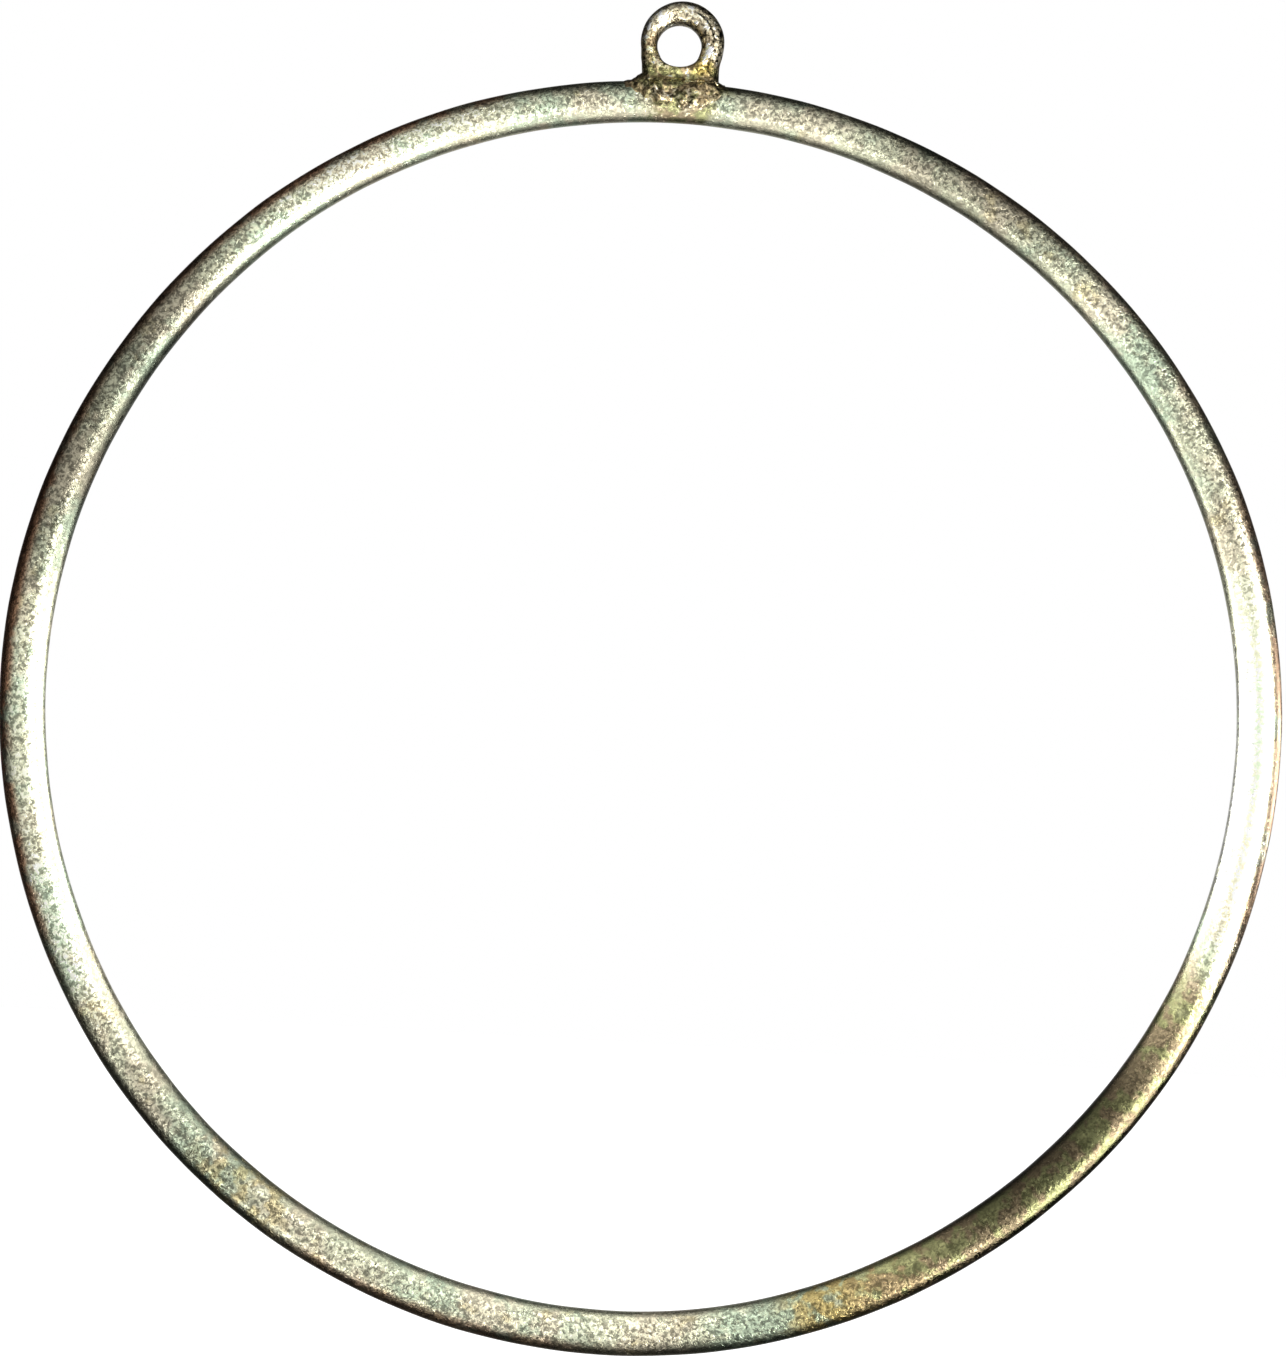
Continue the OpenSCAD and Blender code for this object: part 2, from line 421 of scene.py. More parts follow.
def fit_eye(co, width):
    """Moves a point of the turned ring to the eye's outline. Its rounded edges keep their size where the
    wall has room for them."""
    s = bpy.context.scene.eye_sizes
    turn, reach = math.atan2(co.x, co.z), math.hypot(co.x, co.z) - HOLE_R
    outline, foot = eye_reach(turn, co.y)
    web = smooth_step(*WEB_DROP, -math.cos(turn))
    hole_r = HOLE_R + s.hole_drop * web
    true_width = outline - hole_r
    squeeze = min(1, true_width / (s.outer_round + s.hole_round + LEAST_FLAT))
    inner = s.hole_round * squeeze * (1 - (1 - s.web_round) * web)
    outer = s.outer_round * squeeze * (1 - FOOT_SHARP * foot)
    if reach > width - s.outer_round:
        reach = true_width + (reach - width) * outer / s.outer_round
    elif reach > s.hole_round:
        flat = width - s.outer_round - s.hole_round
        reach = inner + (reach - s.hole_round) * (true_width - outer - inner) / flat
    else:
        reach *= inner / s.hole_round
    place = eye_point((hole_r + reach) * math.sin(turn), (hole_r + reach) * math.cos(turn))
    return Vector((place.x, co.y, place.z))


def file_marks(mesh, depth):
    """Soft unevenness over a finished piece, along its own faces' directions."""
    mesh.normal_update()
    moved = {vert: vert.co + vert.normal * depth * marks(vert.co, FILE_MARKS) for vert in mesh.verts}
    for vert, co in moved.items():
        vert.co = co


def eye_mesh():
    """The eye: its section turned round the hole, then fitted to its outline"""
    s = bpy.context.scene.eye_sizes
    mesh = bmesh.new()
    width = s.outer_round + s.hole_round + SECTION_FLAT
    section_loop(mesh, width, EYE_T, s.hole_round, s.outer_round)
    bmesh.ops.spin(mesh, geom=mesh.verts[:] + mesh.edges[:], cent=(0, 0, 0), axis=(0, 1, 0), dvec=(0, 0, 0),
                   angle=2 * math.pi, steps=EYE_STEPS, use_merge=True, use_duplicate=False)
    for vert in mesh.verts:
        vert.co = fit_eye(vert.co, width)
    bmesh.ops.recalc_face_normals(mesh, faces=mesh.faces[:])
    file_marks(mesh, s.dents)
    return mesh


def bar_skin(across, turn, side):
    """(point, normal) on the hand-made bar, across from the foot's middle and turned from the bar's top
    towards one side."""
    angle = foot_angle() + across / RIM_R
    radius, sway, twist = forged_bar(angle)
    point = from_hoop(angle, radius * math.cos(turn) + sway, side * radius * math.sin(turn) + twist)
    up = Vector((math.sin(angle), 0, math.cos(angle)))
    return point, up * math.cos(turn) + Vector((0, side * math.sin(turn), 0))


def foot_angle():
    """Angle about the hoop's centre of the foot's middle."""
    return math.asin(eye_point(neck_middle(), RIM_R - CENTRE.length).x / RIM_R)


def flat_sheet(along, over):
    """A flat sheet of this many faces each way, from -0.5 to 0.5 both ways, to be shaped."""
    mesh = bmesh.new()
    bmesh.ops.create_grid(mesh, x_segments=along, y_segments=over, size=0.5)
    return mesh


def saddle_film():
    """The film of filler that the foot stands on, bent over the bar."""
    neck = bpy.context.scene.eye_sizes.neck
    half_turn = math.asin(EYE_T / 2 / BAR_R)
    mesh = flat_sheet(40, 16)
    for vert in mesh.verts:
        turn = 2 * half_turn * vert.co.y
        point, normal = bar_skin(neck * vert.co.x, abs(turn), math.copysign(1, turn))
        vert.co = point + normal * FILM_T
    return mesh


def flow_path(across, s, side):
    """(point, normal) along the skin that the filler flows on: s is -1 up on the neck's face, 0 at the
    corner and 1 low on the bar. Past the neck's sides the skin runs over the bar's top instead."""
    climb = bpy.context.scene.braze_sizes.climb
    half_neck = bpy.context.scene.eye_sizes.neck / 2
    up = max(-s, 0)
    # The bar is a little thinner here than the frame's
    corner_turn = math.asin(min(EYE_T / 2 / (BAR_R * 0.93), 0.95))
    low, low_normal = bar_skin(across, corner_turn + FLOW_TURN * max(s, 0), side)
    corner, corner_normal = bar_skin(across, corner_turn, side)
    crown, crown_normal = bar_skin(across, corner_turn * (1 - 0.7 * up), side)
    # The top edge is sunk into the neck, so the sheet runs a little past the climb that shows
    wall = corner + Vector((0, 0, climb * 1.3)) * up
    past = smooth_step(half_neck - 0.9 * MM, half_neck + 0.3 * MM, abs(across))
    if s > 0:
        point, normal = low, low_normal
    else:
        point = wall.lerp(crown, past)
        normal = Vector((0, side, 0)).lerp(crown_normal, past)
    nearby = low_normal if s > 0 else corner_normal
    normal = normal.lerp(nearby, smooth_step(-0.35, 0.0, s) * 0.6).normalized()
    # The filler rounds out the corner
    rounding = 0.50 * MM * math.exp(-(s / 0.30) ** 2) * (1 - past)
    return point + normal * rounding, normal


def bead_patch(side, seed, spread, lumps):
    """The filler along the foot's front or back: a flowed skin with lumps along its lower edge. spread and
    lumps are laid out as FRONT_SPREAD and FRONT_LUMPS are."""
    sizes = bpy.context.scene.braze_sizes
    half_neck = bpy.context.scene.eye_sizes.neck / 2
    left, right, deepest = spread
    mesh = flat_sheet(96, 64)
    for vert in mesh.verts:
        share, s = vert.co.x + 0.5, -1 + 2 * (vert.co.y + 0.5)
        across = left + (right - left) * share
        point, normal = flow_path(across, s, side)
        # The lower edge is deepest in its middle, and wanders
        reach = (across - deepest) / (right - left)
        edge = 0.86 - 2.6 * reach * reach + 0.10 * uneven(point, 2.2 * MM, seed)
        # The flow thins out to nothing at the edge, at the top, at both ends and past the neck's sides
        inside = smooth_step(0, 0.22, edge - s) * smooth_step(-1, -0.25, s)
        inside *= smooth_step(0, 0.10, share) * smooth_step(0, 0.08, 1 - share)
        past = smooth_step(half_neck - 0.6 * MM, half_neck + 0.2 * MM, abs(across))
        inside *= 1 - past * smooth_step(0.25, -0.1, s)
        height = sizes.flow * inside * (1 + 0.5 * uneven(point, 1.3 * MM, seed + 2))
        for lump_across, lump_s, wide, tall in lumps:
            aside = (across - lump_across * MM) / (wide * MM)
            below = (s - lump_s) * FLOW_REACH / (wide * MM)
            away = math.hypot(aside, below)
            height += sizes.lumps * tall * math.exp(-away * away * 1.6)
        rough = 0.05 * MM * uneven(point, 0.7 * MM, seed + 5)
        vert.co = point + normal * (height + rough * inside - FLOW_SUNK)
    return mesh


def fillet_patch(toward, run, rise, seed):
    """A fillet at one side of the neck, LEFT or RIGHT: a hollow curve that runs out along the rim and wraps
    over the bar's crown and the neck's rounded side."""
    s = bpy.context.scene.eye_sizes
    hollow = (run * run + rise * rise) / (2 * rise)
    full = math.asin(min(run / hollow, 1))
    root = foot_angle() + toward * (s.neck / 2) / RIM_R
    mesh = flat_sheet(44, 36)
    for vert in mesh.verts:
        # share 0 is out on the rim and 1 is up on the neck. The sheet runs a little past both.
        share, wrap = vert.co.x + 0.5, vert.co.y * 2 * FILLET_WRAP
        slope = full * (share * 1.08 - 0.04)
        out_x = run - hollow * math.sin(slope)
        out_z = hollow - hollow * math.cos(slope)
        angle = root + toward * out_x / RIM_R
        radius, sway, twist = forged_bar(angle)
        rim = from_hoop(angle, radius + sway, twist)
        up = Vector((math.sin(angle), 0, math.cos(angle)))
        sideways = Vector((toward * math.cos(angle), 0, -toward * math.sin(angle)))
        tip = rim + up * out_z
        normal = up * math.cos(slope) + sideways * math.sin(slope)
        curve_r = radius + (s.outer_round - radius) * share
        spine = tip - normal * curve_r
        outward = normal * math.cos(wrap) + Vector((0, math.sin(wrap), 0))
        edge = smooth_step(0, 0.25, 1 - abs(vert.co.y) * 2)
        edge = edge * smooth_step(0, 0.18, share) * smooth_step(0, 0.12, 1 - share)
        height = FILLET_T * edge * (1 + 2.2 * uneven(tip, 0.9 * MM, seed)) - FILLET_SUNK
        vert.co = spine + outward * (curve_r + height)
    return mesh


# ---------------------------------------------------------------- materials

# Painted light and shade along the hoop: lighter and darker stretches of the colour that stand in for
# highlights, reflections and shade, as (degrees clockwise from the top, half width in degrees, change in
# brightness)
PAINTED_LIGHT_STRETCHES = ((94, 22, 0.80), (116, 10, 0.12), (135, 22, -0.42), (153, 10, 0.08), (167, 12, -0.12),
             (184, 18, 0.10), (225, 17, -0.24), (243, 14, 0.30), (262, 16, 0.12), (296, 24, -0.40),
             (333, 18, 0.28), (30, 15, -0.36), (61, 14, -0.15))
# Painted shade on the inner half of the bar only, laid out the same way
INNER_PAINTED_SHADE = ((140, 29, -0.31), (205, 24, -0.12), (296, 22, -0.20))
# Where tarnish and stains colour the hoop, as (degrees, half width, share). The brown along the outside and
# the olive low on the right are partly tarnish and partly painted shade, darkening the shaded outer edge and
# the shaded stretch low on the right.
BROWN_AND_SHADE_STRETCHES = ((272, 40, 1.3), (196, 22, 0.7), (326, 28, 1.1), (88, 38, 0.75), (40, 24, 0.5))
OLIVE_AND_SHADE_STRETCHES = ((133, 27, 1.4), (155, 14, 0.5))
AMBER_STRETCHES = ((157, 9, 1.0), (216, 8, 0.5))
# Painted highlight: where the bar's grain and most of its dark marks are left out, so that the bright stretch
# on the right reads as an even glare, laid out in the same way
GLARE_STRETCHES = ((93, 23, 0.9),)
# How far the second set of noise is moved from the first
ASIDE = (0.7, 0.3, 0.9)


class Value:
    """A number in a material's nodes. Sums on it add Math nodes."""

    def __init__(self, finish, socket):
        self.finish, self.socket = finish, socket

    def _with(self, operation, *others):
        inputs = dict(enumerate(others))
        return self.finish.node("ShaderNodeMath", {"operation": operation}, inputs)

    def __add__(self, other):
        return self._with("ADD", self, other)

    def __radd__(self, other):
        return self._with("ADD", other, self)

    def __sub__(self, other):
        return self._with("SUBTRACT", self, other)

    def __rsub__(self, other):
        return self._with("SUBTRACT", other, self)

    def __mul__(self, other):
        return self._with("MULTIPLY", self, other)

    def __rmul__(self, other):
        return self._with("MULTIPLY", other, self)

    def power(self, exponent):
        return self._with("POWER", self, exponent)

    def size(self):
        """The number without its sign"""
        return self._with("ABSOLUTE", self)

    def above(self, low, high):
        """0 at low, 1 at high and a soft step between, either way round."""
        return self.finish.node("ShaderNodeMapRange", {"interpolation_type": "SMOOTHSTEP"},
                                {"Value": self, "From Min": low, "From Max": high})


class Finish:
    """The nodes of a new material, or of the room"""

    def __init__(self, owner):
        owner.use_nodes = True
        self.owner, self.tree = owner, owner.node_tree
        self.tree.nodes.clear()

    def node(self, kind, settings=None, inputs=None, output=0):
        made = self.tree.nodes.new(kind)
        for name, setting in (settings or {}).items():
            setattr(made, name, setting)
        for name, value in (inputs or {}).items():
            into = made.inputs[name]
            if isinstance(value, Value):
                self.tree.links.new(value.socket, into)
            else:
                into.default_value = value
        return Value(self, made.outputs[output]) if made.outputs else None

    def mix(self, share, first, second):
        """A colour between two colours."""
        colours = [c if isinstance(c, Value) else (*c, 1) for c in (first, second)]
        return self.node("ShaderNodeMix", {"data_type": "RGBA"}, {0: share, 6: colours[0], 7: colours[1]}, 2)

    def noise(self, place, size, detail, rough, distortion=0.0):
        return self.node("ShaderNodeTexNoise", None, {"Vector": place, "Scale": 1 / size, "Detail": detail,
                                                      "Roughness": rough, "Distortion": distortion})


class HoopMap:
    """Where a point lies on the hoop, worked out in a material's nodes"""

    def __init__(self, finish, place):
        self.finish = finish
        away = finish.node("ShaderNodeVectorMath", {"operation": "SUBTRACT"}, {0: place, 1: CENTRE})
        across = finish.node("ShaderNodeSeparateXYZ", None, {0: away}, "X")
        up = finish.node("ShaderNodeSeparateXYZ", None, {0: away}, "Z")
        self.angle = finish.node("ShaderNodeMath", {"operation": "ARCTAN2"}, {0: across, 1: up})
        reach = finish.node("ShaderNodeMath", {"operation": "SQRT"}, {0: across * across + up * up})
        # -1 at the inside of the bar and 1 at its outside
        self.out = (reach - MEAN_R) * (1 / BAR_R)

    def stretches(self, table):
        """A number that changes along the hoop, as (degrees, half width, change) rows say."""
        level = 0.0
        for turn, half_width, change in table:
            nearness = self.finish.node("ShaderNodeMath", {"operation": "COSINE"},
                                        {0: self.angle - math.radians(turn)})
            level = nearness.above(math.cos(math.radians(half_width)), 1) * change + level
        return level


class Skin:
    """The patterns that a finish is made of. on_bar is 1 for the bar, and 0 for the eye and the filler."""

    def __init__(self, finish, on_bar):
        looks = bpy.context.scene.brass_looks
        self.finish, self.on_bar = finish, on_bar
        self.place = finish.node("ShaderNodeTexCoord", None, None, "Object")
        self.hoop = HoopMap(finish, self.place)
        aside = finish.node("ShaderNodeVectorMath", {"operation": "ADD"}, {0: self.place, 1: ASIDE})
        self.broad = finish.noise(self.place, 21 * MM, 2, 0.5)
        self.other = finish.noise(aside, 13 * MM, 2, 0.5)
        self.cloud = finish.noise(self.place, 5.5 * MM, 3, 0.6)
        self.small = finish.noise(aside, 2.6 * MM, 2, 0.6)
        self.fine = finish.noise(self.place, looks.grain * 0.6, 2.5, 0.6, 0.6)
        winding = finish.noise(aside, looks.grain * 1.15, 2.5, 0.6, 1.3)
        # Olive tarnish low on the right, whose darker colour is partly painted shade of that stretch
        self.olive = self.hoop.stretches(OLIVE_AND_SHADE_STRETCHES) * on_bar
        # Painted highlight: the grain and dark marks are mostly left out in the bright stretch on the right
        clean = self.hoop.stretches(GLARE_STRETCHES) * on_bar
        # The bar is smoother at its inside and outside, and a little smoother in its olive stretches
        middle = 1 - self.hoop.out.size().above(0.35, 0.85) * 0.65 * on_bar
        middle = middle * (1 - self.olive.above(0.2, 1.0) * 0.25)
        worms = (1 - (winding - 0.5).size().above(0.0, 0.042)) * self.cloud.above(0.34, 0.60) * middle
        self.worms = worms * (1 - clean)
        self.grain = (self.fine.above(0.37, 0.63) - 0.5) * middle * (1 - clean * 0.75)
        # The specks of the eye and the filler are larger, and more of the surface has them
        speck_size, few = (looks.grain * 0.55, 0.58) if on_bar else (looks.grain * 1.1, 0.54)
        specks = finish.noise(self.place, speck_size, 1, 0.5, 0.3).above(few, few + 0.09)
        self.specks = specks * self.small.above(few - 0.12, few)
        foot_away = self.distance(FOOT) + (self.cloud + self.small) * 5 * MM
        self.scorched = 1 - foot_away.above(10.5 * MM, 14 * MM)

    def distance(self, spot):
        """How far a point of the surface is from a spot"""
        return self.finish.node("ShaderNodeVectorMath", {"operation": "DISTANCE"}, {0: self.place, 1: spot},
                                "Value")


def patched(skin, tints):
    """The metal's colour with its soft patches, and the bar's stains and tarnish, of which the brown and the
    olive are partly painted shade
    """
    looks = bpy.context.scene.brass_looks
    clean, patch_a, patch_b, stain = tints
    f, hoop, cloud, small, other = skin.finish, skin.hoop, skin.cloud, skin.small, skin.other
    colour = f.mix((skin.broad + small * 0.6).above(0.72, 0.92), clean, patch_a)
    colour = f.mix((other + small * 0.5).above(0.70, 0.88) * 0.85, colour, patch_b)
    colour = f.mix((cloud + other * 0.5).above(0.86, 0.96) * 0.3, colour, stain)
    amber = hoop.stretches(AMBER_STRETCHES) * skin.on_bar * (cloud + small).above(0.84, 1.06)
    colour = f.mix(amber.above(0.0, 1.0), colour, looks.amber)
    tarnish = f.mix((cloud + small).above(0.90, 1.06), looks.olive, looks.umber)
    # The olive stretches are partly tarnish and partly painted shade
    colour = f.mix((skin.olive * (cloud + 0.45)).above(0.1, 0.95) * 0.9, colour, tarnish)
    # The brown along the outside is partly tarnish and partly painted shade of the outer edge
    outside = hoop.out.above(0.05, 0.75)
    brown_and_edge_shade = outside * hoop.stretches(BROWN_AND_SHADE_STRETCHES) * skin.on_bar * cloud.above(0.28, 0.50)
    return f.mix(brown_and_edge_shade.above(0.0, 1.1), colour, looks.brown_and_edge_shade)


def heated(skin, colour):
    """A colour with what the torch did to it: scorched round the foot, and golden beside the eye's hole"""
    looks = bpy.context.scene.brass_looks
    f = skin.finish
    scorch = f.mix((skin.small + skin.other * 0.4).above(0.60, 0.76), looks.olive, looks.umber)
    scorch = f.mix((skin.cloud + skin.fine * 0.4).above(0.70, 0.84), scorch, looks.warm)
    colour = f.mix(skin.scorched * 0.85, colour, scorch)
    spot = 1 - (skin.distance(HEAT_SPOT) + skin.small * 2 * MM).above(1.4 * MM, 3.6 * MM)
    return f.mix(spot * 0.8, colour, looks.gold)


def brightness(skin, contrast, shine):
    """How bright the metal is, from its grain, its darker patches and painted light and shade: stretches
    along the hoop, the bar's inner and outer halves and the eye's head
    """
    f, hoop, on_bar, off_bar = skin.finish, skin.hoop, skin.on_bar, 1 - skin.on_bar
    shade = 1 + skin.grain * contrast + skin.specks * shine + skin.specks * skin.scorched * 1.6
    # On the bar the outer half is darker, as painted shade of its outer edge; on the eye and the filler,
    # cloudy patches are darker
    shade = shade - hoop.out.above(0.0, 1.0) * 0.14 * on_bar - skin.cloud.above(0.48, 0.60) * 0.3 * off_bar
    # Painted shade on the inner half of the bar, in some stretches along the hoop
    inner = hoop.out.above(0.70, -0.85) * hoop.stretches(INNER_PAINTED_SHADE)
    from_axis = f.node("ShaderNodeVectorMath", {"operation": "MULTIPLY"}, {0: skin.place, 1: (1, 0, 1)})
    from_axis = f.node("ShaderNodeVectorMath", {"operation": "LENGTH"}, {0: from_axis}, "Value")
    # Painted highlight on the flat of the eye's head, and painted shade on its rounded outer edge
    flat_highlight_edge_shade = from_axis.above(3.9 * MM, 5.0 * MM) * 0.35 - from_axis.above(5.4 * MM, 7.4 * MM) * 0.55
    polish = bpy.context.scene.brass_looks.polish
    # The bar's colour carries the painted light and shade of its stretches along the hoop
    return shade * ((hoop.stretches(PAINTED_LIGHT_STRETCHES) + inner) * on_bar + flat_highlight_edge_shade * off_bar + polish)


def brass(name, tints, contrast, shine, on_bar):
    """Satin brass with a fine worm-like grain. tints are its clean colour and the colours of its patches,
    contrast is the grain's, shine is the brightness of its specks, and on_bar is as Skin says."""
    looks = bpy.context.scene.brass_looks
    f = Finish(bpy.data.materials.new(name))
    skin = Skin(f, on_bar)
    colour = f.mix(skin.worms * 0.7, heated(skin, patched(skin, tints)), looks.pit)
    colour = f.node("ShaderNodeVectorMath", {"operation": "SCALE"},
                    {0: colour, "Scale": brightness(skin, contrast, shine)})
    height = skin.grain * 0.8 + skin.specks * 0.8 + skin.cloud - skin.worms * 0.9
    bump = f.node("ShaderNodeBump", None,
                  {"Strength": 0.85, "Distance": looks.grain_depth, "Height": height})
    roughness = 0.25 + skin.small.above(0.35, 0.7) * 0.10 + skin.worms * 0.15 - skin.specks * 0.10
    shader = f.node("ShaderNodeBsdfPrincipled", None,
                    {"Base Color": colour, "Metallic": 1.0, "Roughness": roughness, "Normal": bump})
    f.node("ShaderNodeOutputMaterial", None, {"Surface": shader})
    return f.owner


def brass_of(which):
    """One of the three finishes, made on first use."""
    looks = bpy.context.scene.brass_looks
    tints, contrast, shine, on_bar = {
        "bar_brass": ((looks.pale, looks.green, looks.warm, looks.amber), 1.15, 0.35, 1.0),
        "eye_brass": ((looks.worn, looks.umber, looks.warm, looks.olive), 1.4, 2.2, 0.0),
        "braze_filler": ((looks.filler, looks.umber, looks.olive, looks.green), 1.3, 1.6, 0.0),
    }[which]
    name = f"satin_{which}"
    return bpy.data.materials.get(name) or brass(name, tints, contrast, shine, on_bar)


# ---------------------------------------------------------------- operators


class MakeHoopBar(bpy.types.Operator):
    """Make the bent round bar, open where its ends meet"""
    bl_idname = "hoop.make_bar"
    bl_label = "Hoop Bar"

    def execute(self, context):
        s = context.scene.hoop_sizes
        mesh = swept_bar(HALF_GAP, 2 * math.pi - 2 * HALF_GAP, s.steps, s.sides, BAR_LENGTHS)
        new_piece("bent_bar", mesh, "hoop_bar", "bar_brass")
        return {"FINISHED"}


class MakeEndBraze(bpy.types.Operator):
    """Make the thin disc of filler between the bar's two ends"""
    bl_idname = "hoop.make_end_braze"
    bl_label = "End Braze"

    def execute(self, context):
        mesh = swept_bar(-HALF_GAP, 2 * HALF_GAP, 2, context.scene.hoop_sizes.sides)
        # Filed flush and rubbed to the bar's own colour
        new_piece("bar_end_braze", mesh, "hoop_end_braze", "braze_filler", "bar_brass")
        return {"FINISHED"}


class MakeHangingEye(bpy.types.Operator):
    """Make the round-headed eye with its hole"""
    bl_idname = "hoop.make_eye"
    bl_label = "Hanging Eye"

    def execute(self, context):
        new_piece("filed_eye", eye_mesh(), "hanging_eye", "eye_brass")
        return {"FINISHED"}


class MakeSaddleBraze(bpy.types.Operator):
    """Make the thin film of filler between the eye's foot and the bar"""
    bl_idname = "hoop.make_saddle"
    bl_label = "Saddle Braze"

    def execute(self, context):
        new_skin("foot_film", saddle_film(), "saddle_braze", UP, FILM_T)
        return {"FINISHED"}


class MakeSideFillets(bpy.types.Operator):
    """Make the fillets at the left and the right of the eye's neck"""
    bl_idname = "hoop.make_fillets"
    bl_label = "Side Fillets"

    def execute(self, context):
        s = context.scene.braze_sizes
        left = fillet_patch(LEFT, s.left_run, s.left_rise, 2)
        new_skin("left_fillet", left, "left_braze_fillet", UP, SKIN_T)
        right = fillet_patch(RIGHT, s.right_run, s.right_rise, 4)
        new_skin("right_fillet", right, "right_braze_fillet", UP, SKIN_T)
        return {"FINISHED"}


class MakeLongBeads(bpy.types.Operator):
    """Make the flowed filler along the front and the back of the foot"""
    bl_idname = "hoop.make_beads"
    bl_label = "Front and Back Beads"

    def execute(self, context):
        front = bead_patch(FRONT, 11, FRONT_SPREAD, FRONT_LUMPS)
        new_skin("front_flow", front, "front_braze_bead", -Y, SKIN_T)
        back = bead_patch(BACK, 29, BACK_SPREAD, BACK_LUMPS)
        new_skin("back_flow", back, "back_braze_bead", Y, SKIN_T)
        return {"FINISHED"}


class SetStage(bpy.types.Operator):
    """Set up the camera, the lights, the pale floor and the room"""
    bl_idname = "hoop.set_stage"
    bl_label = "Stage"

    def execute(self, context):
        make_camera(context.scene)
        make_floor(context.scene)
        make_lights(context.scene)
        make_room(context.scene)
        return {"FINISHED"}


# ---------------------------------------------------------------- stage


def make_camera(scene):
    """A camera a little below the hoop's centre, looking slightly up, with the picture turned so that the
    eye stands upright in it."""
    data = bpy.data.cameras.new("camera")
    data.sensor_width = SENSOR_WIDTH
    data.lens = LENS
    data.clip_end = CLIP_END
    camera = bpy.data.objects.new("camera", data)
    scene.collection.objects.link(camera)
    picture = Matrix.Rotation(PICTURE_TURN, 4, "Y")
    aim = (Matrix.Rotation(math.radians(CAMERA_LEFT), 4, "Z")
           @ Matrix.Rotation(math.radians(90 + CAMERA_UP), 4, "X")
           @ Matrix.Rotation(math.radians(CAMERA_ROLL), 4, "Z"))
    share = scene.stage_looks.camera_distance / CAMERA_DISTANCE
    place = Matrix.Translation(CAMERA_PLACE * share)
    camera.matrix_world = Matrix.Translation(CENTRE) @ picture.inverted() @ place @ aim
    scene.camera = camera


def make_floor(scene):
    """A plain pale floor, left out of the metal's reflections"""
    mesh = bmesh.new()
    bmesh.ops.create_grid(mesh, x_segments=1, y_segments=1, size=FLOOR_HALF)
    data = bpy.data.meshes.new("floor")
    mesh.to_mesh(data)
    mesh.free()
    floor = bpy.data.objects.new("floor", data)
    scene.collection.objects.link(floor)
    floor.location = (0, 0, CENTRE.z - RIM_R - scene.stage_looks.floor_drop)
    floor.visible_glossy = False
    f = Finish(bpy.data.materials.new("pale_floor"))
    shader = f.node("ShaderNodeBsdfPrincipled", None, {
        "Base Color": (0.95, 0.95, 0.95, 1), "Roughness": 0.9,
        "Emission Color": (1, 1, 1, 1), "Emission Strength": 0.35})
    f.node("ShaderNodeOutputMaterial", None, {"Surface": shader})
    data.materials.append(f.owner)


def area_light(scene, name, bearing, off, distance, size, power):
    """A soft light that faces the hoop. bearing is in degrees clockwise from up as seen from the front, off
    is the degrees away from straight in front, and size is (across, up)."""
    data = bpy.data.lights.new(name, "AREA")
    data.shape = "RECTANGLE"
    data.size, data.size_y = size
    data.energy = power
    lamp = bpy.data.objects.new(name, data)
    scene.collection.objects.link(lamp)
    bearing, off = math.radians(bearing), math.radians(off)
    away = Vector((math.sin(bearing) * math.sin(off), -math.cos(off), math.cos(bearing) * math.sin(off)))
    turned = Matrix.Rotation(-PICTURE_TURN, 3, "Y") @ away
    lamp.location = CENTRE + turned * distance
    lamp.rotation_mode = "QUATERNION"
    lamp.rotation_quaternion = (-turned).to_track_quat("-Z", "Z")
    lamp.visible_camera = False


def round_lamp(scene, name, across, back, size, power):
    """A small round lamp this far across and behind the hoop's middle. It lights the bar's inner side."""
    data = bpy.data.lights.new(name, "POINT")
    data.shadow_soft_size = size
    data.energy = power
    lamp = bpy.data.objects.new(name, data)
    scene.collection.objects.link(lamp)
    lamp.location = CENTRE + Vector((across, back, 0))
    lamp.visible_camera = False


def make_lights(scene):
    """Soft lights low on both sides and on the right, and small lamps that light the bar's inner side"""
    looks = scene.stage_looks
    # Degrees clockwise, degrees off the front, metres away, metres across and up, power
    area_light(scene, "low_right", 129, 70, 0.60, (0.36, 0.42), looks.side_power)
    area_light(scene, "right", 91, 50, 0.55, (0.24, 0.30), looks.right_power)
    area_light(scene, "right_edge", 91, 108, 0.50, (0.12, 0.24), looks.edge_power)
    area_light(scene, "low_left", 218, 56, 0.60, (0.26, 0.30), looks.left_power)
    # Distance across, distance back, radius, power
    round_lamp(scene, "behind", 0, 36 * MM, 22 * MM, looks.middle_power * 0.22)
    for number in range(4):
        forward = 4 + 40 * number
        round_lamp(scene, f"middle_{number}", 0, -forward * MM, 22 * MM, looks.middle_power)
    round_lamp(scene, "inside_left", -46 * MM, 20 * MM, 18 * MM, looks.inside_power)
    round_lamp(scene, "inside_right", 54 * MM, 14 * MM, 14 * MM, looks.inside_power * 0.7)


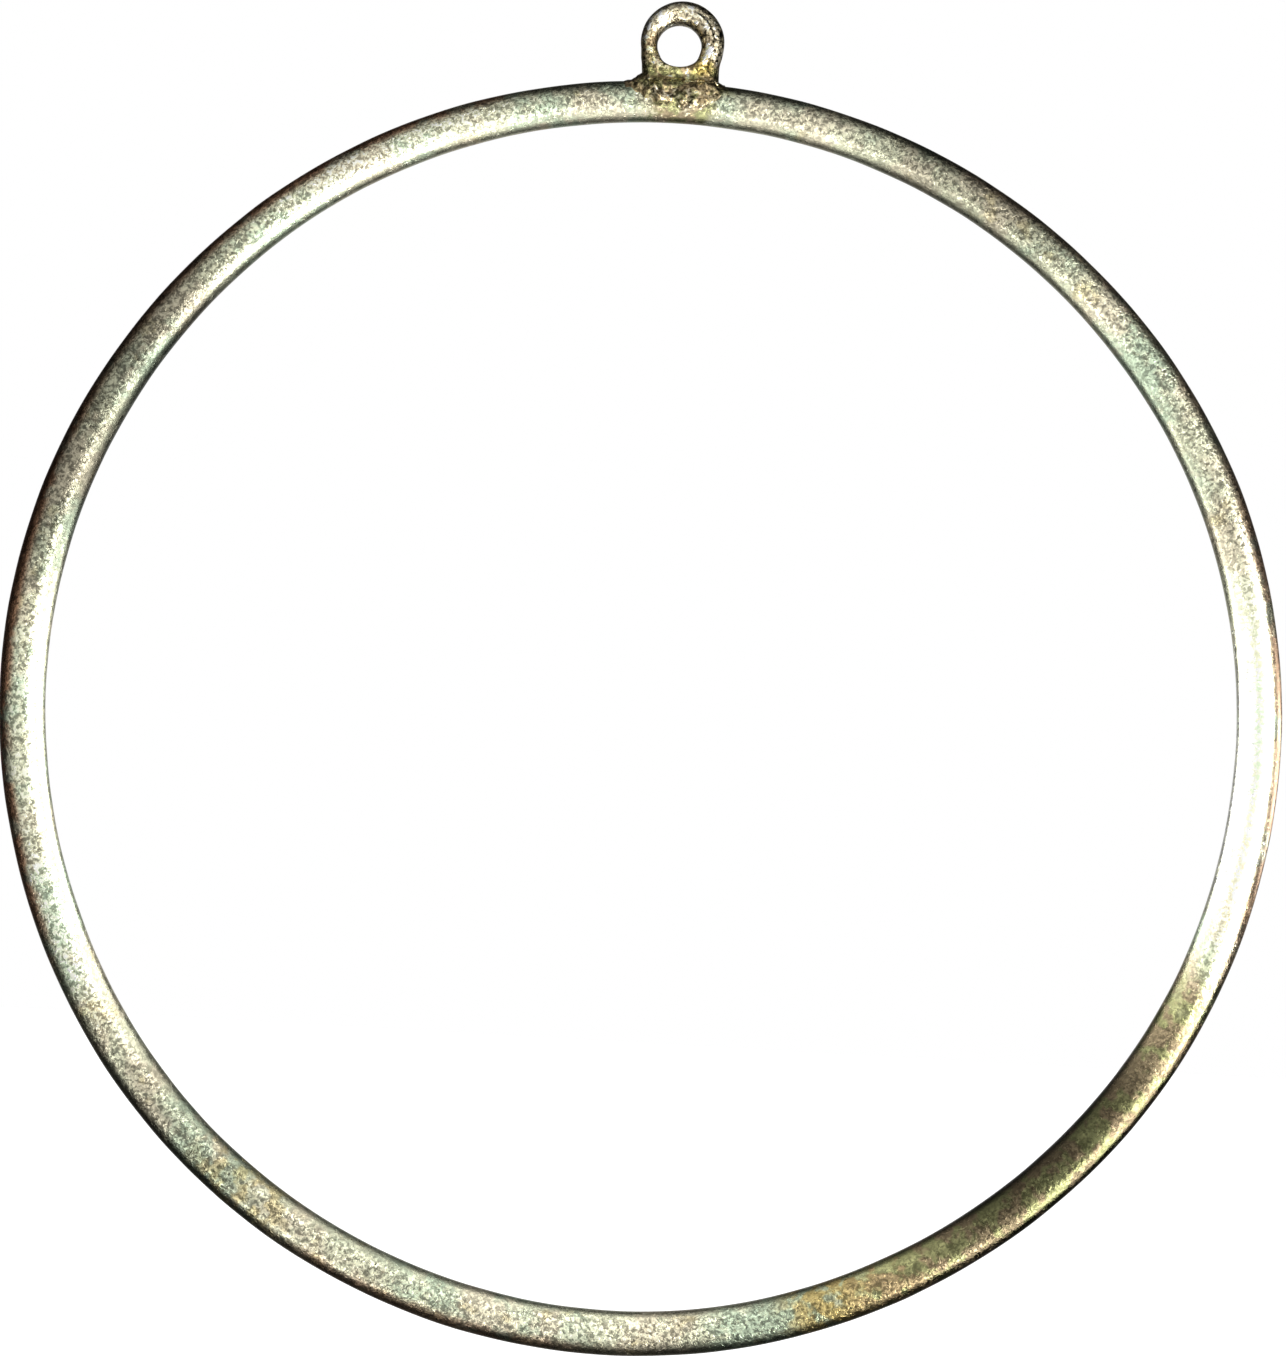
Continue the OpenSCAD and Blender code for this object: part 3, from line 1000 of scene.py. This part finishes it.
def make_room(scene):
    """A white room to look at. The metal reflects a soft tent in front and a smaller one behind, which
    darken towards their edges, and a dark gap between them."""
    looks = scene.stage_looks
    room = Finish(bpy.data.worlds.new("room"))
    scene.world = room.owner
    scene.world.cycles.sampling_method = "NONE"
    look = room.node("ShaderNodeTexCoord", None, None, "Generated")
    away = room.node("ShaderNodeSeparateXYZ", None, {0: look}, "Y")
    front = room.node("ShaderNodeMath", {"operation": "MAXIMUM"}, {0: -1 * away, 1: 0.0})
    behind = room.node("ShaderNodeMath", {"operation": "MAXIMUM"}, {0: away, 1: 0.0})
    front_tent = front.power(looks.tent_fall) * looks.tent
    rear_tent = behind.power(looks.rear_fall) * looks.rear
    reflected = room.node("ShaderNodeLightPath", None, None, "Is Glossy Ray")
    strength = 1 - reflected * (1 - (looks.dim + front_tent + rear_tent))
    sky = room.node("ShaderNodeBackground", None, {"Color": (1, 1, 1, 1), "Strength": strength})
    room.node("ShaderNodeOutputWorld", None, {"Surface": sky})
    scene.view_settings.view_transform = "Standard"


class HoopPanel(bpy.types.Panel):
    """Sizes, looks and the steps that make the hoop"""
    bl_idname = "VIEW3D_PT_hoop"
    bl_label = "Brazed Hanging Hoop"
    bl_space_type = "VIEW_3D"
    bl_region_type = "UI"
    bl_category = "Hoop"

    def draw(self, context):
        for name, group in GROUPS.items():
            box = self.layout.box()
            box.label(text=group.__doc__)
            for prop in group.__annotations__:
                box.prop(getattr(context.scene, name), prop)
        for step in STEPS:
            self.layout.operator(step.bl_idname)


GROUPS = {"hoop_sizes": HoopSizes, "eye_sizes": EyeSizes, "braze_sizes": BrazeSizes,
          "brass_looks": BrassLooks, "stage_looks": StageLooks}
STEPS = (MakeHoopBar, MakeEndBraze, MakeHangingEye, MakeSaddleBraze, MakeSideFillets, MakeLongBeads,
         SetStage)


def register():
    for cls in (*GROUPS.values(), *STEPS, HoopPanel):
        bpy.utils.register_class(cls)
    for name, group in GROUPS.items():
        setattr(bpy.types.Scene, name, PointerProperty(type=group))


def unregister():
    for name in GROUPS:
        delattr(bpy.types.Scene, name)
    for cls in (HoopPanel, *reversed(STEPS), *reversed(GROUPS.values())):
        bpy.utils.unregister_class(cls)


def main():
    register()
    for step in STEPS:
        family, verb = step.bl_idname.split(".")
        getattr(getattr(bpy.ops, family), verb)()


if __name__ == "__main__":
    main()
